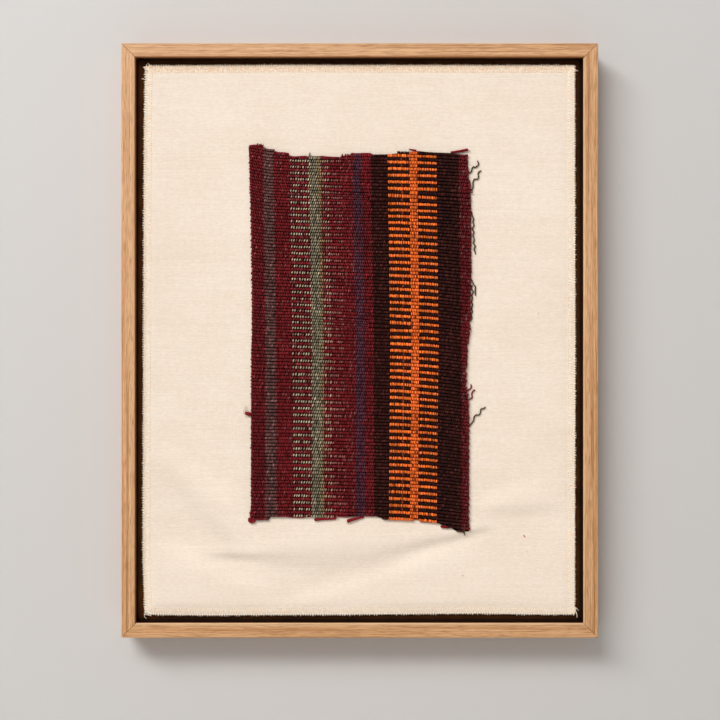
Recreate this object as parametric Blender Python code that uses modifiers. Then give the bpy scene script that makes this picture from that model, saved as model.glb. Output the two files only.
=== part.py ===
"""Framed kilim fragment: a cut piece of striped, ribbed flatweave on an overlocked cotton
cloth, laid on a dark board in a plain oak box frame.

Metres, +Z up. The frame hangs on a wall at y = 0 and faces -Y. The origin is in the middle
of the top rail's back face.
"""
import math

import bmesh
import bpy
from mathutils import Matrix, Vector

MM = 0.001

# Oak frame
FRAME_WIDTH = 0.430
FRAME_HEIGHT = 0.536
FRAME_DEPTH = 0.035
FACE_WIDTH = 0.0134
INNER_ARRIS = 0.0013
OUTER_ARRIS = 0.0008
ARRIS_STEPS = 3
LIP_DEPTH = 0.0102
REBATE_WIDTH = 0.005

# Gap kept between pieces that touch
FIT_GAP = 0.0003

# Board in the rebate
BOARD_THICK = 0.004

# Cotton cloth, with its edges measured from the frame's centre
CLOTH_THICK = 0.0012
CLOTH_LEFT = -0.1966
CLOTH_RIGHT = 0.1958
CLOTH_TOP = 0.2498
CLOTH_BOTTOM = -0.2489
CLOTH_LIFT = 0.0008
CLOTH_EDGE_LIFT = 0.0003
CLOTH_EDGE_BAND = 0.012
CLOTH_COLUMNS = 30
CLOTH_WIDE_ROWS = 8
CLOTH_CLOSE_ROWS = 22
CLOTH_CLOSE_ROWS_FROM = -0.110
SWELL = 0.0007
SWELL_FROM = -0.178
SWELL_SPAN = 0.030

# Kilim fragment, with its corner measured from the frame's centre
FRAGMENT_LEFT = -0.0980
FRAGMENT_TOP = 0.1720
FRAGMENT_THICK = 0.0021
RIB_PITCH = 0.00303
RIB_RISE = 0.0005
RIBS_ABOVE_CORNER = 6
RIB_COUNT = 124
RAGGED = 0.0004
COLUMNS_ACROSS = (0.07, 0.18, 0.36, 0.54, 0.70, 0.82, 0.90, 0.96)

# Yarns that lie loose on the cloth
LOOSE_RADIUS = 0.00055

CENTRE_Z = (FACE_WIDTH - REBATE_WIDTH) / 2 - FRAME_HEIGHT / 2
BOARD_FRONT_Y = -FRAME_DEPTH + LIP_DEPTH + FIT_GAP
CLOTH_LOW_Y = BOARD_FRONT_Y - FIT_GAP - CLOTH_THICK
CLOTH_TOP_Y = CLOTH_LOW_Y - CLOTH_LIFT
FRAGMENT_BACK_Y = CLOTH_TOP_Y - FIT_GAP

# How far the cloth's edges bow in, in mm. Columns: place along the edge from 0 to 1, bow
LEFT_BOW = ((0.0, 1.6), (0.08, 0.6), (0.3, 0.0), (0.9, -0.8), (1.0, 1.0))
RIGHT_BOW = ((0.0, 0.3), (0.5, -0.2), (1.0, 0.3))
TOP_BOW = ((0.0, 0.6), (0.3, -0.2), (1.0, 0.2))
BOTTOM_BOW = ((0.0, 0.4), (0.13, -0.3), (0.48, 0.4), (0.78, 1.4), (0.95, 0.3), (1.0, 0.8))

# Soft folds of the cloth, in mm from the frame's centre.
# Columns: start x, start z, end x, end z, depth at the start, depth at the end, half width
FOLDS = (
    (-132, -195, -96, -196, 0.5, 1.1, 7),
    (-96, -196, -8, -199, 1.1, 0.4, 9),
    (-8, -199, 52, -189, 0.4, 0.6, 10),
    (52, -189, 88, -177, 0.6, 0.9, 8),
    (88, -177, 117, -171, 0.9, 0.8, 5),
    (117, -171, 146, -168, 0.8, 0.0, 6),
    (120, -152, 186, -153, 0.5, 0.3, 5),
    (-167, -119, -121, -182, 0.4, 0.5, 14),
)

# The fragment's cut edges, in mm from its corner. Columns: across, down
TOP_EDGE = (
    (-2.3, -4.4), (9.9, -5.2), (10.3, -3.1), (19.7, 0.2), (24.3, 1.6), (33.4, 2.4),
    (33.9, 4.8), (39.3, 5.7), (50.9, 5.1), (63.0, 4.8), (79.3, 6.2), (81.5, 4.8),
    (89.8, 4.5), (90.1, 2.1), (108.1, 2.3), (111.0, 3.7), (121.9, 3.3), (139.8, 1.7),
    (142.6, 0.8), (149.0, 0.7), (150.2, 0.2), (160.5, 1.3), (180.6, 2.2), (186.4, 3.3),
    (196.0, 4.1),
)
BOTTOM_EDGE = (
    (-1.5, 330.5), (-0.6, 333.0), (3.0, 334.2), (9.9, 334.9), (16.2, 333.8), (17.3, 331.7),
    (30.0, 331.2), (35.3, 332.0), (47.4, 332.3), (53.8, 331.8), (76.6, 332.5), (78.4, 331.4),
    (86.7, 331.7), (103.4, 330.8), (111.5, 331.1), (119.0, 333.1), (133.5, 334.6),
    (150.8, 334.3), (153.7, 336.3), (163.4, 337.1), (164.5, 335.6), (171.4, 338.4),
    (179.5, 340.7), (184.1, 343.9), (188.8, 345.1), (196.9, 344.8),
)

# The fragment's woven side edges, in mm from its corner. Columns: down, across
LEFT_EDGE = (
    (-5, -2.2), (10, -1.6), (30, -1.1), (60, 0.0), (110, 0.8), (165, 0.8), (180, 0.1),
    (320, 0.0), (332, -1.3),
)
RIGHT_EDGE = (
    (4, 195.4), (17, 196.0), (20, 197.8), (44, 198.6), (100, 198.9), (135, 197.8),
    (142, 198.6), (150, 197.0), (160, 197.2), (168, 195.5), (182, 195.0), (190, 193.8),
    (206, 193.8), (214, 195.6), (234, 196.5), (320, 196.5), (345, 197.0),
)

# How the ribs sink from left to right, in mm.
# Columns: down, sink near the left, run of it, sink near the right, where that starts
RIB_LEAN = (
    (27, 4.7, 16, 3.2, 108),
    (172, 2.5, 45, 6.0, 130),
    (308, 0.3, 45, 8.2, 80),
)

# Crimped yarns that have come out of the right edge, in mm. Columns: across, down
LOOSE_YARNS = (
    ((198.9, 19.2), (199.9, 15.9), (201.1, 14.5), (202.5, 15.0), (204.7, 13.6), (205.8, 11.8),
     (204.5, 8.8)),
    ((199.9, 34.9), (200.8, 31.4), (200.6, 28.6), (202.0, 25.8), (204.5, 25.7), (205.7, 23.7),
     (205.3, 20.6), (206.6, 18.7), (208.4, 18.0)),
    ((200.3, 58.6), (201.2, 66.2), (200.6, 71.1), (201.2, 74.5), (201.0, 78.7), (201.8, 81.4),
     (201.2, 84.2), (202.6, 87.0), (201.8, 90.5), (203.3, 93.9)),
    ((199.6, 117.5), (201.2, 121.0), (203.0, 123.4), (202.6, 125.2), (202.9, 131.4)),
    ((199.6, 121.8), (199.7, 125.2), (200.5, 127.9), (199.8, 132.1), (199.8, 134.9),
     (199.9, 139.7), (199.6, 146.0), (199.3, 152.9)),
    ((197.0, 216.4), (198.3, 215.4), (199.2, 213.7), (198.6, 211.6)),
    ((197.4, 225.3), (199.7, 223.9), (199.9, 222.1), (199.5, 220.2), (200.6, 217.9),
     (202.6, 216.5)),
    ((197.9, 248.9), (201.1, 244.5), (201.6, 241.5), (203.4, 239.4), (205.7, 239.4),
     (207.3, 237.6), (207.8, 234.3), (209.9, 233.7), (212.4, 232.2)),
)

# Red weft ends at the cut edges, in mm. Columns: radius, then across and down for each point
WEFT_ENDS = (
    (1.0, (182.5, 0.6), (189.0, 0.3), (195.7, -0.9)),
    (0.7, (148.2, -0.6), (145.3, -0.8), (142.4, -1.3)),
    (1.1, (-1.4, 238.6), (-3.0, 238.0), (-4.9, 237.0)),
    (1.0, (2.6, 336.4), (-0.4, 336.8), (-2.4, 335.4), (-2.9, 333.1)),
    (0.9, (76.4, 333.9), (66.0, 334.0), (56.7, 334.2)),
    (1.0, (101.9, 332.5), (96.5, 333.2), (91.0, 334.0), (86.3, 335.8)),
    (1.0, (178.4, 342.1), (175.2, 341.1), (171.4, 340.4)),
)


def clear_scene():
    """Remove every object, and the meshes, curves and materials left without a user."""
    for obj in list(bpy.data.objects):
        bpy.data.objects.remove(obj, do_unlink=True)
    for block in (bpy.data.meshes, bpy.data.curves, bpy.data.materials, bpy.data.collections):
        for item in list(block):
            block.remove(item)


def new_collection(name):
    """A collection in the scene."""
    collection = bpy.data.collections.new(name)
    bpy.context.scene.collection.children.link(collection)
    return collection


def new_material(name, colour, roughness):
    """A plain material of one colour."""
    material = bpy.data.materials.new(name)
    material.use_nodes = True
    shader = material.node_tree.nodes["Principled BSDF"]
    shader.inputs["Base Color"].default_value = (*colour, 1.0)
    shader.inputs["Roughness"].default_value = roughness
    shader.inputs["Metallic"].default_value = 0.0
    return material


def add_object(name, data, collection, material=None):
    """An object for a mesh or a curve."""
    obj = bpy.data.objects.new(name, data)
    collection.objects.link(obj)
    if material is not None:
        data.materials.append(material)
    return obj


def mesh_from(bm, name):
    """A mesh from a bmesh, which is then freed."""
    mesh = bpy.data.meshes.new(name)
    bm.to_mesh(mesh)
    bm.free()
    return mesh


def read_table(table, place):
    """The value at a place in a two-column table, on straight lines between its rows."""
    if place <= table[0][0]:
        return table[0][1]
    for (start, first), (end, last) in zip(table, table[1:]):
        if place <= end:
            return first + (last - first) * (place - start) / (end - start)
    return table[-1][1]


def ease(t):
    """A smooth step from 0 to 1."""
    t = min(max(t, 0.0), 1.0)
    return t * t * (3.0 - 2.0 * t)


def box(size, centre):
    """A bmesh box."""
    bm = bmesh.new()
    place = Matrix.Translation(centre) @ Matrix.Diagonal((*size, 1.0))
    bmesh.ops.create_cube(bm, size=1.0, matrix=place)
    return bm


def make_cutter(name, bm, collection):
    """A cutter's object, which isn't part of the model."""
    cutter = add_object(name, mesh_from(bm, name), collection)
    cutter.hide_render = True
    cutter.display_type = "WIRE"
    return cutter


def cut_with(obj, cutter, operation):
    """A Boolean modifier with the exact solver."""
    cut = obj.modifiers.new(operation.lower(), "BOOLEAN")
    cut.operation = operation
    cut.object = cutter
    cut.solver = "EXACT"


def edges_along_x(bm, y, z):
    """The edges that run along X through a place in Y and Z."""
    def at_place(vert):
        return abs(vert.co.y - y) < FIT_GAP and abs(vert.co.z - z) < FIT_GAP
    return [edge for edge in bm.edges if all(at_place(vert) for vert in edge.verts)]


def make_rail(name, length, reach, turn, rebate, collection, material):
    """One rail, made as the top one with its outer face at a height of reach, then turned."""
    inner = reach - FACE_WIDTH
    bm = box((length, FRAME_DEPTH, FACE_WIDTH), (0, -FRAME_DEPTH / 2, reach - FACE_WIDTH / 2))
    for height, arris in ((reach, OUTER_ARRIS), (inner, INNER_ARRIS)):
        bmesh.ops.bevel(bm, geom=edges_along_x(bm, -FRAME_DEPTH, height), offset=arris,
                        segments=ARRIS_STEPS, profile=0.5, affect="EDGES")
    for side in (-1, 1):
        cut = bmesh.ops.bisect_plane(
            bm, geom=bm.verts[:] + bm.edges[:] + bm.faces[:], clear_outer=True,
            plane_co=(side * (length / 2 - FIT_GAP * math.sqrt(0.5)), 0, reach), plane_no=(side, 0, -1))
        edges = [item for item in cut["geom_cut"] if isinstance(item, bmesh.types.BMEdge)]
        bmesh.ops.edgeloop_fill(bm, edges=edges)
    bmesh.ops.recalc_face_normals(bm, faces=bm.faces)
    rail = add_object(name, mesh_from(bm, name), collection, material)
    rail.location = (0, 0, CENTRE_Z)
    rail.rotation_euler = (0, turn, 0)
    cut_with(rail, rebate, "DIFFERENCE")
    return rail


def make_frame(collection, cutters):
    """Four mitred rails with a rebate cut into their backs."""
    oak = new_material("oak", (0.62, 0.37, 0.17), 0.5)
    back_depth = FRAME_DEPTH - LIP_DEPTH
    width = FRAME_WIDTH - 2 * (FACE_WIDTH - REBATE_WIDTH)
    height = FRAME_HEIGHT - 2 * (FACE_WIDTH - REBATE_WIDTH)
    size = (width, 2 * back_depth, height)
    rebate = make_cutter("rebate_cutter", box(size, (0, 0, CENTRE_Z)), cutters)
    rails = (
        ("rail_top", FRAME_WIDTH, FRAME_HEIGHT / 2, 0),
        ("rail_bottom", FRAME_WIDTH, FRAME_HEIGHT / 2, math.pi),
        ("rail_right", FRAME_HEIGHT, FRAME_WIDTH / 2, math.pi / 2),
        ("rail_left", FRAME_HEIGHT, FRAME_WIDTH / 2, -math.pi / 2),
    )
    for name, length, reach, turn in rails:
        make_rail(name, length, reach, turn, rebate, collection, oak)


def make_board(collection):
    """The dark board that lies in the rebate against the lip."""
    inset = FACE_WIDTH - REBATE_WIDTH + FIT_GAP
    size = (FRAME_WIDTH - 2 * inset, BOARD_THICK, FRAME_HEIGHT - 2 * inset)
    bm = box(size, (0, BOARD_FRONT_Y + BOARD_THICK / 2, CENTRE_Z))
    stain = new_material("dark_stained_board", (0.03, 0.012, 0.004), 0.6)
    add_object("backing_board", mesh_from(bm, "backing_board"), collection, stain)


def fold_depth(x, z):
    """How deep the folds press the cloth in at a place, in metres."""
    depth = 0.0
    for start_x, start_z, end_x, end_z, first, last, half_width in FOLDS:
        start = Vector((start_x, start_z)) * MM
        run = Vector((end_x, end_z)) * MM - start
        off = Vector((x, z)) - start
        along = min(max(off.dot(run) / run.length_squared, 0.0), 1.0)
        distance = (off - run * along).length / (half_width * MM)
        trough = (first + (last - first) * along) * MM * math.exp(-distance * distance)
        depth = max(depth, trough)
    return depth


def cloth_rise(x, z, edge):
    """How far the cloth stands off the board, from its place and its distance to the edge."""
    swell = SWELL * ease((SWELL_FROM - z) / SWELL_SPAN) * (0.6 + 0.4 * math.sin(x / 0.036))
    rise = CLOTH_LIFT + swell - fold_depth(x, z)
    hem = CLOTH_EDGE_LIFT * (1.0 + 0.6 * math.sin(x / 0.019 + z / 0.023))
    return max(hem + (rise - hem) * ease(edge / CLOTH_EDGE_BAND), 0.0)


def cloth_row_heights():
    """Heights of the cloth's rows, close together where the folds are."""
    upper = CLOTH_TOP - CLOTH_CLOSE_ROWS_FROM
    lower = CLOTH_CLOSE_ROWS_FROM - CLOTH_BOTTOM
    heights = [CLOTH_TOP - upper * row / CLOTH_WIDE_ROWS for row in range(CLOTH_WIDE_ROWS)]
    heights += [CLOTH_CLOSE_ROWS_FROM - lower * row / CLOTH_CLOSE_ROWS
                for row in range(CLOTH_CLOSE_ROWS + 1)]
    return heights


def cloth_point(across, height):
    """A point of the cloth's front, from its place in the cut rectangle."""
    down = (CLOTH_TOP - height) / (CLOTH_TOP - CLOTH_BOTTOM)
    left = CLOTH_LEFT + read_table(LEFT_BOW, down) * MM
    right = CLOTH_RIGHT - read_table(RIGHT_BOW, down) * MM
    top = CLOTH_TOP - read_table(TOP_BOW, across) * MM
    bottom = CLOTH_BOTTOM + read_table(BOTTOM_BOW, across) * MM
    x = left + (right - left) * across
    z = top + (bottom - top) * down
    edge = min(x - left, right - x, top - z, z - bottom)
    return Vector((x, CLOTH_LOW_Y - cloth_rise(x, z, edge), z + CENTRE_Z))


def make_cloth(collection):
    """The cotton cloth, with bowed edges and soft folds in its lower third."""
    heights = cloth_row_heights()
    rows = len(heights) - 1
    bm = bmesh.new()
    bmesh.ops.create_grid(bm, x_segments=CLOTH_COLUMNS, y_segments=rows, size=0.5)
    for vert in bm.verts:
        row = round((0.5 - vert.co.y) * rows)
        vert.co = cloth_point(vert.co.x + 0.5, heights[row])
    cotton = new_material("natural_cotton", (0.85, 0.72, 0.58), 0.9)
    cloth = add_object("mount_cloth", mesh_from(bm, "mount_cloth"), collection, cotton)
    thicken = cloth.modifiers.new("thickness", "SOLIDIFY")
    thicken.thickness = CLOTH_THICK
    thicken.offset = -1.0


def rib_sink(across, down):
    """How far a rib has sunk at a place across the fragment, in metres."""
    values = [read_table([(row[0], row[column]) for row in RIB_LEAN], down / MM)
              for column in range(1, 5)]
    left_sink, left_run, right_sink, right_start = (value * MM for value in values)
    end = RIGHT_EDGE[0][1] * MM
    near_left = left_sink * (1.0 - math.exp(-max(across, 0.0) / left_run))
    share = max(across - right_start, 0.0) / (end - right_start)
    return near_left + right_sink * share ** 1.8


def side_edges(row, down):
    """Left and right ends of a row, a little further out on a rib than between two."""
    wear = RAGGED * (0.5 + 0.5 * math.sin(row * 2.1) * math.sin(row * 0.37))
    out = RAGGED * (row % 2)
    left = read_table(LEFT_EDGE, down / MM) * MM - out - wear
    right = read_table(RIGHT_EDGE, down / MM) * MM + out + wear * math.cos(row * 1.3)
    return left, right


def fragment_point(across, down, y):
    """A point in the fragment's own measure, put in its place in the frame."""
    return Vector((FRAGMENT_LEFT + across, y, FRAGMENT_TOP - down + CENTRE_Z))


def ribbed_slab():
    """The weave as a slab with ribs across it, ragged sides and a flat back."""
    columns = (0.0, *COLUMNS_ACROSS, 1.0)
    rows = 2 * RIB_COUNT
    bm = bmesh.new()
    bmesh.ops.create_grid(bm, x_segments=len(columns) - 1, y_segments=rows, size=0.5)
    for vert in bm.verts:
        row = round((0.5 - vert.co.y) * rows)
        column = round((vert.co.x + 0.5) * (len(columns) - 1))
        down = (row / 2 - RIBS_ABOVE_CORNER) * RIB_PITCH
        left, right = side_edges(row, down)
        across = left + (right - left) * columns[column]
        rise = FRAGMENT_THICK + RIB_RISE * (row % 2)
        vert.co = fragment_point(across, down + rib_sink(across, down), FRAGMENT_BACK_Y - rise)
    rim = [edge for edge in bm.edges if edge.is_boundary]
    walls = bmesh.ops.extrude_edge_only(bm, edges=rim)["geom"]
    for item in walls:
        if isinstance(item, bmesh.types.BMVert):
            item.co.y = FRAGMENT_BACK_Y
    bmesh.ops.edgeloop_fill(bm, edges=[edge for edge in bm.edges if edge.is_boundary])
    bmesh.ops.recalc_face_normals(bm, faces=bm.faces)
    return bm


def cut_outline(cutters):
    """A prism between the fragment's cut edges, past the weave at front, back and sides."""
    reach = 8 * MM
    points = [(across * MM, down * MM) for across, down in TOP_EDGE]
    points += [(points[-1][0] + reach, points[-1][1])]
    lower = [(across * MM, down * MM) for across, down in reversed(BOTTOM_EDGE)]
    points += [(lower[0][0] + reach, lower[0][1]), *lower]
    points += [(lower[-1][0] - reach, lower[-1][1]), (points[0][0] - reach, points[0][1])]
    curve = bpy.data.curves.new("cut_outline", "CURVE")
    curve.dimensions = "2D"
    curve.fill_mode = "BOTH"
    curve.extrude = 2 * FRAGMENT_THICK
    spline = curve.splines.new("POLY")
    spline.points.add(len(points) - 1)
    for point, (across, down) in zip(spline.points, points):
        point.co = (across, -down, 0.0, 1.0)
    spline.use_cyclic_u = True
    outline = add_object("cut_outline_curve", curve, cutters)
    outline.rotation_euler = (math.pi / 2, 0, 0)
    outline.location = fragment_point(0.0, 0.0, FRAGMENT_BACK_Y)
    bpy.context.view_layer.update()
    evaluated = outline.evaluated_get(bpy.context.evaluated_depsgraph_get())
    mesh = bpy.data.meshes.new_from_object(evaluated)
    bm = bmesh.new()
    bm.from_mesh(mesh)
    bmesh.ops.remove_doubles(bm, verts=bm.verts, dist=0.01 * MM)
    bmesh.ops.recalc_face_normals(bm, faces=bm.faces)
    cutter = make_cutter("cut_outline", bm, cutters)
    cutter.matrix_world = outline.matrix_world
    bpy.data.objects.remove(outline, do_unlink=True)
    return cutter


def make_fragment(collection, cutters):
    """The kilim fragment, cut along its ragged top and bottom edges."""
    wool = new_material("burgundy_wool", (0.16, 0.02, 0.025), 0.9)
    mesh = mesh_from(ribbed_slab(), "kilim_fragment")
    fragment = add_object("kilim_fragment", mesh, collection, wool)
    cut_with(fragment, cut_outline(cutters), "INTERSECT")


def make_yarn(name, points, radius, collection, material):
    """A yarn that lies on the cloth, through points in the fragment's own measure."""
    y = CLOTH_TOP_Y - FIT_GAP - radius
    curve = bpy.data.curves.new(name, "CURVE")
    curve.dimensions = "3D"
    curve.bevel_depth = radius
    curve.bevel_resolution = 0
    curve.use_fill_caps = True
    spline = curve.splines.new("POLY")
    spline.points.add(len(points) - 1)
    for point, (across, down) in zip(spline.points, points):
        point.co = (*fragment_point(across * MM, down * MM, y), 1.0)
    add_object(name, curve, collection, material)


def make_yarns(collection):
    """Crimped yarns out of the right edge, and red weft ends at the cut edges."""
    olive = new_material("olive_wool", (0.11, 0.08, 0.045), 0.9)
    red = new_material("red_wool", (0.27, 0.01, 0.025), 0.9)
    for number, points in enumerate(LOOSE_YARNS, start=1):
        make_yarn(f"loose_yarn_{number}", points, LOOSE_RADIUS, collection, olive)
    for number, (radius, *points) in enumerate(WEFT_ENDS, start=1):
        make_yarn(f"weft_end_{number}", points, radius * MM, collection, red)


clear_scene()
parts = new_collection("framed_kilim_fragment")
guides = new_collection("cutters")
make_frame(parts, guides)
make_board(parts)
make_cloth(parts)
make_fragment(parts, guides)
make_yarns(parts)
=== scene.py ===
"""Looks of the framed kilim fragment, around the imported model."""
import math
import random
from functools import partial

import bmesh
import bpy
import numpy as np
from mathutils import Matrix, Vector
from mathutils.bvhtree import BVHTree


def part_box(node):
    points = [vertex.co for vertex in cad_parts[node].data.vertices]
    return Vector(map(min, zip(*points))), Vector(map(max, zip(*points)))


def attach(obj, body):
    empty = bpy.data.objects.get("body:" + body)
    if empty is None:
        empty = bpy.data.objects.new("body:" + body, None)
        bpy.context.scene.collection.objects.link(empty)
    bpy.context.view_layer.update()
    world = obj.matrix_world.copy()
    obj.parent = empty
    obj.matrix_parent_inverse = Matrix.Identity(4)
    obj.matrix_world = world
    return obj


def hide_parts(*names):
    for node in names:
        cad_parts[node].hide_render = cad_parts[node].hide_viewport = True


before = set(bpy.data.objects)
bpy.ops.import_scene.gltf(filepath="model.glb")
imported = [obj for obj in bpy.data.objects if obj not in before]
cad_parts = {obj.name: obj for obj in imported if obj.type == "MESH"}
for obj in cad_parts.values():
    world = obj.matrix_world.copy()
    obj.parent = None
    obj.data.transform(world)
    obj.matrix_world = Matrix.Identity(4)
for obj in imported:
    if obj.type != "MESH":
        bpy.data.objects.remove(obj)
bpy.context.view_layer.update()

MM = 0.001

# Oak rails
# Four straight-grained oak mouldings, mitred and glued at the corners, planed and given one
# thin satin oil. The inner walls are brushed with dark paint, so that the cloth seems to float.
FACE_Y = -35 * MM
# Depths below the face over which the painted shade and highlight at the face's edges fade out
PAINTED_EDGE_DEPTHS = 0.4 * MM, 1.0 * MM
INNER_ARRIS = 1.3 * MM
OAK_LIGHT = "#deae7f"
OAK_MID = "#cb9665"
OAK_PORE = "#9a6535"
WALL_PAINT = "#1d0a01"
RING_WIDTH = 0.95 * MM
RING_LENGTH = 150 * MM
PORE_WIDTH = 0.42 * MM
PORE_LENGTH = 13 * MM
GRAIN_SHIFT = 3.7
STROKES_PER_MM = 0.3
WALL_TILT, ARRIS_TILT = 0.99, 0.2
# Lit and shaded copies of the wall paint, painted light and shade: the shaded copy turns dark closer
# below the face
BARE_DEPTHS = {"shaded": 3.5 * MM, "lit": 4.2 * MM}

# Each rail: the axis along it and across it, the way to its inner side, and the painted shade
# or painted highlight on its face by its inner and by its outer edge, as width in mm, share and
# tone. The top and left rails get painted shade by the inner edge and a painted highlight by the
# outer edge; the bottom and right rails get a painted highlight by the inner edge
RAILS = {
    "rail_top": ("x", "z", -1, (2.4, 1.0, "#7a4a26"), (0.6, 0.4, "#f6e2c4")),
    "rail_bottom": ("x", "z", 1, (2.8, 0.42, "#f8dcb2"), (0.3, 0.0, "#f6e2c4")),
    "rail_left": ("z", "x", 1, (1.6, 1.0, "#7a4a26"), (0.8, 0.4, "#f6e2c4")),
    "rail_right": ("z", "x", -1, (2.8, 0.30, "#f8dcb2"), (0.3, 0.0, "#f6e2c4")),
}


def linear(hex_colour):
    """Linear RGBA of an sRGB hex colour."""
    parts = [int(hex_colour[start:start + 2], 16) / 255 for start in (1, 3, 5)]
    parts = [c / 12.92 if c <= 0.04045 else ((c + 0.055) / 1.055) ** 2.4 for c in parts]
    return (*parts, 1.0)


def add_node(tree, kind, inputs=None, out=0, **settings):
    """One output of a new node; each input is a value or another node's output."""
    node = tree.nodes.new("ShaderNode" + kind)
    for name, value in settings.items():
        setattr(node, name, value)
    for name, value in (inputs or {}).items():
        if isinstance(value, bpy.types.NodeSocket):
            tree.links.new(value, node.inputs[name])
        else:
            node.inputs[name].default_value = value
    return node.outputs[out]


def new_finish(name, roughness, gloss=0.5, colour="#ffffff"):
    """A material of one colour, with its roughness and its gloss."""
    material = bpy.data.materials.new(name)
    material.use_nodes = True
    inputs = material.node_tree.nodes["Principled BSDF"].inputs
    inputs["Base Color"].default_value = linear(colour)
    inputs["Roughness"].default_value = roughness
    inputs["Specular IOR Level"].default_value = gloss
    return material


def start_pattern(name, roughness, gloss=0.5):
    """A material to draw a pattern on, what adds its nodes, and the place on the piece."""
    material = new_finish(name, roughness, gloss)
    add = partial(add_node, material.node_tree)
    return material, add, add("TexCoord", out="Object")


def end_pattern(material, colour, height=None, strength=0.0, depth=0.0):
    """The material with the pattern's colour on it, and its relief where it has one."""
    tree = material.node_tree
    inputs = tree.nodes["Principled BSDF"].inputs
    tree.links.new(colour, inputs["Base Color"])
    if height is not None:
        relief = add_node(tree, "Bump", {
            "Height": height, "Strength": strength, "Distance": depth})
        tree.links.new(relief, inputs["Normal"])
    return material


def set_ramp(tone, stops):
    """The stops of the colour ramp that gives a tone, as places and hex colours."""
    elements = tone.node.color_ramp.elements
    while len(elements) < len(stops):
        elements.new(0.5)
    for element, (place, colour) in zip(elements, stops):
        element.position = place
        element.color = linear(colour)


def oiled_oak(name, along, across, inner, outer, painted_edge_light_and_shade, shift):
    """Oak planed along one axis: soft growth lines and short open pores, under thin oil,
    with painted shade and painted highlight along the edges of its face.
    """
    material, add, place = start_pattern(name, roughness=0.46)

    def grain(length, width, **details):
        scale = {axis: 1 / width for axis in "xyz"}
        scale[along] = 1 / length
        inputs = {"Vector": place, "Location": (shift, shift, shift),
                  "Scale": tuple(scale[axis] for axis in "xyz")}
        vector = add("Mapping", inputs)
        return add("TexNoise", {"Vector": vector, "Scale": 1.0, **details})

    def toned(colour, share, tone):
        return add("Mix", {0: share, 6: colour, 7: linear(tone)}, out=2, data_type="RGBA")

    rings = grain(RING_LENGTH, RING_WIDTH, Detail=3.0, Roughness=0.65, Distortion=0.25)
    tone = add("ValToRGB", {0: rings})
    set_ramp(tone, ((0.30, OAK_PORE), (0.44, OAK_MID), (0.60, OAK_LIGHT)))
    pores = grain(PORE_LENGTH, PORE_WIDTH, Detail=2.0)
    open_pore = add("MapRange", {
        "Value": pores, "From Min": 0.36, "From Max": 0.50, "To Min": 0.75, "To Max": 0.0})
    colour = toned(tone, open_pore, OAK_PORE)
    parts = add("SeparateXYZ", {0: place}).node.outputs
    front = add("MapRange", {
        "Value": parts[1], "From Min": FACE_Y + PAINTED_EDGE_DEPTHS[0],
        "From Max": FACE_Y + PAINTED_EDGE_DEPTHS[1], "To Min": 1.0, "To Max": 0.0})
    # Painted shade or painted highlight along the inner and the outer edge of the face
    for edge, (width, most, painted_edge_colour) in zip((inner, outer), painted_edge_light_and_shade):
        way = math.copysign(width * MM, outer + inner - 2 * edge)
        share = add("MapRange", {
            "Value": parts["xyz".index(across)], "From Min": edge, "From Max": edge + way,
            "To Min": most, "To Max": 0.0})
        share = add("Math", {0: share, 1: front}, operation="MULTIPLY")
        colour = toned(colour, share, painted_edge_colour)
    return end_pattern(material, colour, pores, strength=0.35, depth=0.15 * MM)


def brushed_wall_paint(side, bare_depth):
    """Dark paint brushed on the inner walls: it thins out to bare oak below the face. Where it
    thins, the oak is drawn darker than the face's oak: painted shade.
    """
    material, add, place = start_pattern(f"brushed_dark_paint_{side}", roughness=0.7, gloss=0.1)
    strokes = add("TexNoise", {"Vector": place, "Scale": STROKES_PER_MM / MM})
    depth = add("SeparateXYZ", {0: place}, out=1)
    bare = add("MapRange", {"Value": depth, "From Min": FACE_Y, "From Max": FACE_Y + bare_depth})
    ragged = add("Math", {0: strokes, 1: 0.3, 2: bare}, operation="MULTIPLY_ADD")
    tone = add("ValToRGB", {0: ragged})
    set_ramp(tone, ((0.22, "#80502a"), (0.55, "#3c1b05"), (0.95, WALL_PAINT)))
    return end_pattern(material, tone)


wall_paints = {side: brushed_wall_paint(side, depth) for side, depth in BARE_DEPTHS.items()}
for number, (name, (along, across, inward, *painted_edge_light_and_shade)) in enumerate(RAILS.items()):
    rail = bpy.data.objects[name]
    side = "xyz".index(across)
    box_low, box_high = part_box(name)
    inner, outer = (box_high[side], box_low[side])[::inward]
    oak = oiled_oak(f"oiled_oak_{name}", along, across, inner, outer, painted_edge_light_and_shade, GRAIN_SHIFT * number)
    rail.data.materials.clear()
    rail.data.materials.append(oak)
    # The top and left rails take the shaded copy, which also covers their inner arris: painted shade
    # on the arris
    away_from_window = name in ("rail_top", "rail_left")
    rail.data.materials.append(wall_paints["shaded" if away_from_window else "lit"])
    for face in rail.data.polygons:
        near_inner = abs(face.center[side] - inner) < INNER_ARRIS
        tilt = face.normal[side] * inward
        if near_inner and tilt > (ARRIS_TILT if away_from_window else WALL_TILT):
            face.material_index = 1

# Backing board
# A thin board in the rebate behind the lip, stained dark brown and left matte. It is seen only
# as a dark band between the cloth and the rails.
BOARD_STAIN = "#452408"
CLOUDS_PER_MM = 0.06

# Painted light by the left rail and painted shade by the right and bottom rails, where the board
# runs lighter or darker. Columns: axis, from and to in mm, tone there
BOARD_PAINTED_LIGHT_AND_SHADE = (
    (0, -200.0, -195.0, 1.7, 1.0),
    (0, 198.3, 200.4, 1.15, 0.3),
    (2, -514.2, -517.1, 1.0, 0.3),
)


def shaded(add, colour, measure, start, end, low, high):
    """A colour times a factor, which runs from low to high between two values of a measure."""
    factor = add("MapRange", {
        "Value": measure, "From Min": start, "From Max": end, "To Min": low, "To Max": high})
    return add("VectorMath", {0: colour, "Scale": factor}, operation="SCALE")


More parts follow.
